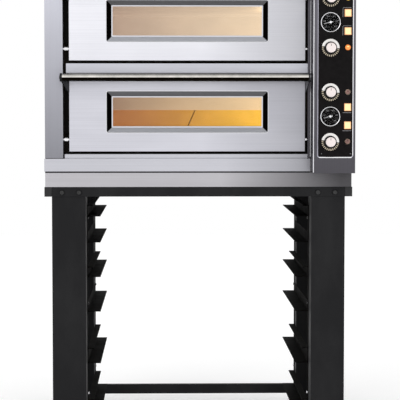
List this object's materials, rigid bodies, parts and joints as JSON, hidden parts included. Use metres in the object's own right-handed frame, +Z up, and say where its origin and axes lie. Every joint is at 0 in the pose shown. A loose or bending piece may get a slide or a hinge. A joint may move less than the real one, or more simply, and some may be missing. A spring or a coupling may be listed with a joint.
{
  "type": "deck pizza oven",
  "caption": "Electric pizza oven with stacked baking decks, drop-down glazed doors and a side control column, on an open steel stand with tray runners.",
  "frame": {"origin": "bottom centre of the whole object's box, on the floor", "axes": "+Z up, -Y towards the person at the doors, +X towards the control column"},
  "size_m": [1.126, 0.983, 1.7501],
  "materials": {
    "stand_paint": "black powder coat, slightly textured",
    "rack_paint": "black powder coat, worn along the ledges",
    "casing_steel": "brushed stainless sheet, grain along the width",
    "plinth_steel": "brushed stainless sheet, slightly dull",
    "column_steel": "brushed stainless sheet, upright grain",
    "door_steel": "finely brushed stainless sheet",
    "bezel_steel": "pressed and polished stainless surround",
    "oven_glass": "clear heat-proof glass",
    "handle_steel": "polished stainless tube",
    "bracket_steel": "polished stainless plate",
    "pin_steel": "turned and polished steel",
    "chamber_steel": "heat-tinted aluminised sheet",
    "hearth_stone": "fired refractory stone",
    "heater_metal": "oxidised sheathed heating tube",
    "fascia_black": "black panel film",
    "knob_metal": "satin cap on a dark collar over a bright skirt",
    "gauge_black": "black dial in a chrome rim",
    "needle_white": "white pointer",
    "lamp_lit": "lit amber indicator lens",
    "lamp_off": "unlit indicator lens",
    "rocker_lit": "lit translucent rocker cap"
  },
  "bodies": {
    "root": {"stand_leg_front_left": "stand_paint", "stand_leg_front_right": "stand_paint", "stand_leg_rear_left": "stand_paint", "stand_leg_rear_right": "stand_paint", "stand_beam_front": "stand_paint", "stand_beam_rear": "stand_paint", "stand_beam_left": "stand_paint", "stand_beam_right": "stand_paint", "stand_lower_crossbar": "stand_paint", "tray_rack_left": "rack_paint", "tray_rack_right": "rack_paint", "base_panel": "casing_steel", "left_casing": "casing_steel", "right_casing": "casing_steel", "back_cover": "casing_steel", "top_cover": "casing_steel", "deck_divider": "casing_steel", "plinth": "plinth_steel", "control_column": "column_steel", "lower_chamber_liner": "chamber_steel", "upper_chamber_liner": "chamber_steel", "lower_hearth_stone_left": "hearth_stone", "lower_hearth_stone_right": "hearth_stone", "upper_hearth_stone_left": "hearth_stone", "upper_hearth_stone_right": "hearth_stone", "lower_heating_element": "heater_metal", "upper_heating_element": "heater_metal", "control_fascia": "fascia_black", "lower_gauge_body": "gauge_black", "upper_gauge_body": "gauge_black", "upper_top_heat_lamp": "lamp_lit", "upper_bottom_heat_lamp": "lamp_lit", "lower_top_heat_lamp": "lamp_off", "lower_bottom_heat_lamp": "lamp_off"},
    "lower_door": {"lower_door_panel": "door_steel", "lower_window_bezel": "bezel_steel", "lower_window_glass": "oven_glass", "lower_handle_bar": "handle_steel", "lower_handle_bracket_left": "bracket_steel", "lower_handle_bracket_right": "bracket_steel", "lower_hinge_pin_left": "pin_steel", "lower_hinge_pin_right": "pin_steel"},
    "upper_door": {"upper_door_panel": "door_steel", "upper_window_bezel": "bezel_steel", "upper_window_glass": "oven_glass", "upper_handle_bar": "handle_steel", "upper_handle_bracket_left": "bracket_steel", "upper_handle_bracket_right": "bracket_steel", "upper_hinge_pin_left": "pin_steel", "upper_hinge_pin_right": "pin_steel"},
    "lower_top_knob": {"lower_top_heat_knob": "knob_metal"},
    "lower_bottom_knob": {"lower_bottom_heat_knob": "knob_metal"},
    "lower_needle": {"lower_gauge_needle": "needle_white"},
    "lower_power_switch": {"lower_power_rocker": "rocker_lit"},
    "lower_light_switch": {"lower_light_rocker": "rocker_lit"},
    "upper_top_knob": {"upper_top_heat_knob": "knob_metal"},
    "upper_bottom_knob": {"upper_bottom_heat_knob": "knob_metal"},
    "upper_needle": {"upper_gauge_needle": "needle_white"},
    "upper_power_switch": {"upper_power_rocker": "rocker_lit"},
    "upper_light_switch": {"upper_light_rocker": "rocker_lit"}
  },
  "joints": [
    {"name": "lower_door_hinge", "type": "hinge", "parent": "root", "child": "lower_door", "pos_m": [-0.04125, -0.3565, 1.12353], "axis": [1, 0, 0], "range_deg": [0, 85]},
    {"name": "upper_door_hinge", "type": "hinge", "parent": "root", "child": "upper_door", "pos_m": [-0.04125, -0.3565, 1.45356], "axis": [1, 0, 0], "range_deg": [0, 85]},
    {"name": "lower_top_knob_turn", "type": "hinge", "parent": "root", "child": "lower_top_knob", "pos_m": [0.472, -0.477, 1.29503], "axis": [0, 1, 0], "range_deg": [0, 270]},
    {"name": "lower_bottom_knob_turn", "type": "hinge", "parent": "root", "child": "lower_bottom_knob", "pos_m": [0.472, -0.477, 1.11653], "axis": [0, 1, 0], "range_deg": [0, 270]},
    {"name": "lower_needle_turn", "type": "hinge", "parent": "root", "child": "lower_needle", "pos_m": [0.472, -0.465, 1.20803], "axis": [0, 1, 0], "range_deg": [-30, 235], "stiffness_Nm_per_rad": 0.0005},
    {"name": "lower_power_rocker_tilt", "type": "hinge", "parent": "root", "child": "lower_power_switch", "pos_m": [0.5345, -0.463, 1.24103], "axis": [1, 0, 0], "range_deg": [0, 16]},
    {"name": "lower_light_rocker_tilt", "type": "hinge", "parent": "root", "child": "lower_light_switch", "pos_m": [0.5345, -0.463, 1.17603], "axis": [1, 0, 0], "range_deg": [0, 16]},
    {"name": "upper_top_knob_turn", "type": "hinge", "parent": "root", "child": "upper_top_knob", "pos_m": [0.472, -0.477, 1.63267], "axis": [0, 1, 0], "range_deg": [0, 270]},
    {"name": "upper_bottom_knob_turn", "type": "hinge", "parent": "root", "child": "upper_bottom_knob", "pos_m": [0.472, -0.477, 1.45416], "axis": [0, 1, 0], "range_deg": [0, 270]},
    {"name": "upper_needle_turn", "type": "hinge", "parent": "root", "child": "upper_needle", "pos_m": [0.472, -0.465, 1.54567], "axis": [0, 1, 0], "range_deg": [-30, 235], "stiffness_Nm_per_rad": 0.0005},
    {"name": "upper_power_rocker_tilt", "type": "hinge", "parent": "root", "child": "upper_power_switch", "pos_m": [0.5345, -0.463, 1.57866], "axis": [1, 0, 0], "range_deg": [0, 16]},
    {"name": "upper_light_rocker_tilt", "type": "hinge", "parent": "root", "child": "upper_light_switch", "pos_m": [0.5345, -0.463, 1.51367], "axis": [1, 0, 0], "range_deg": [0, 16]}
  ]
}
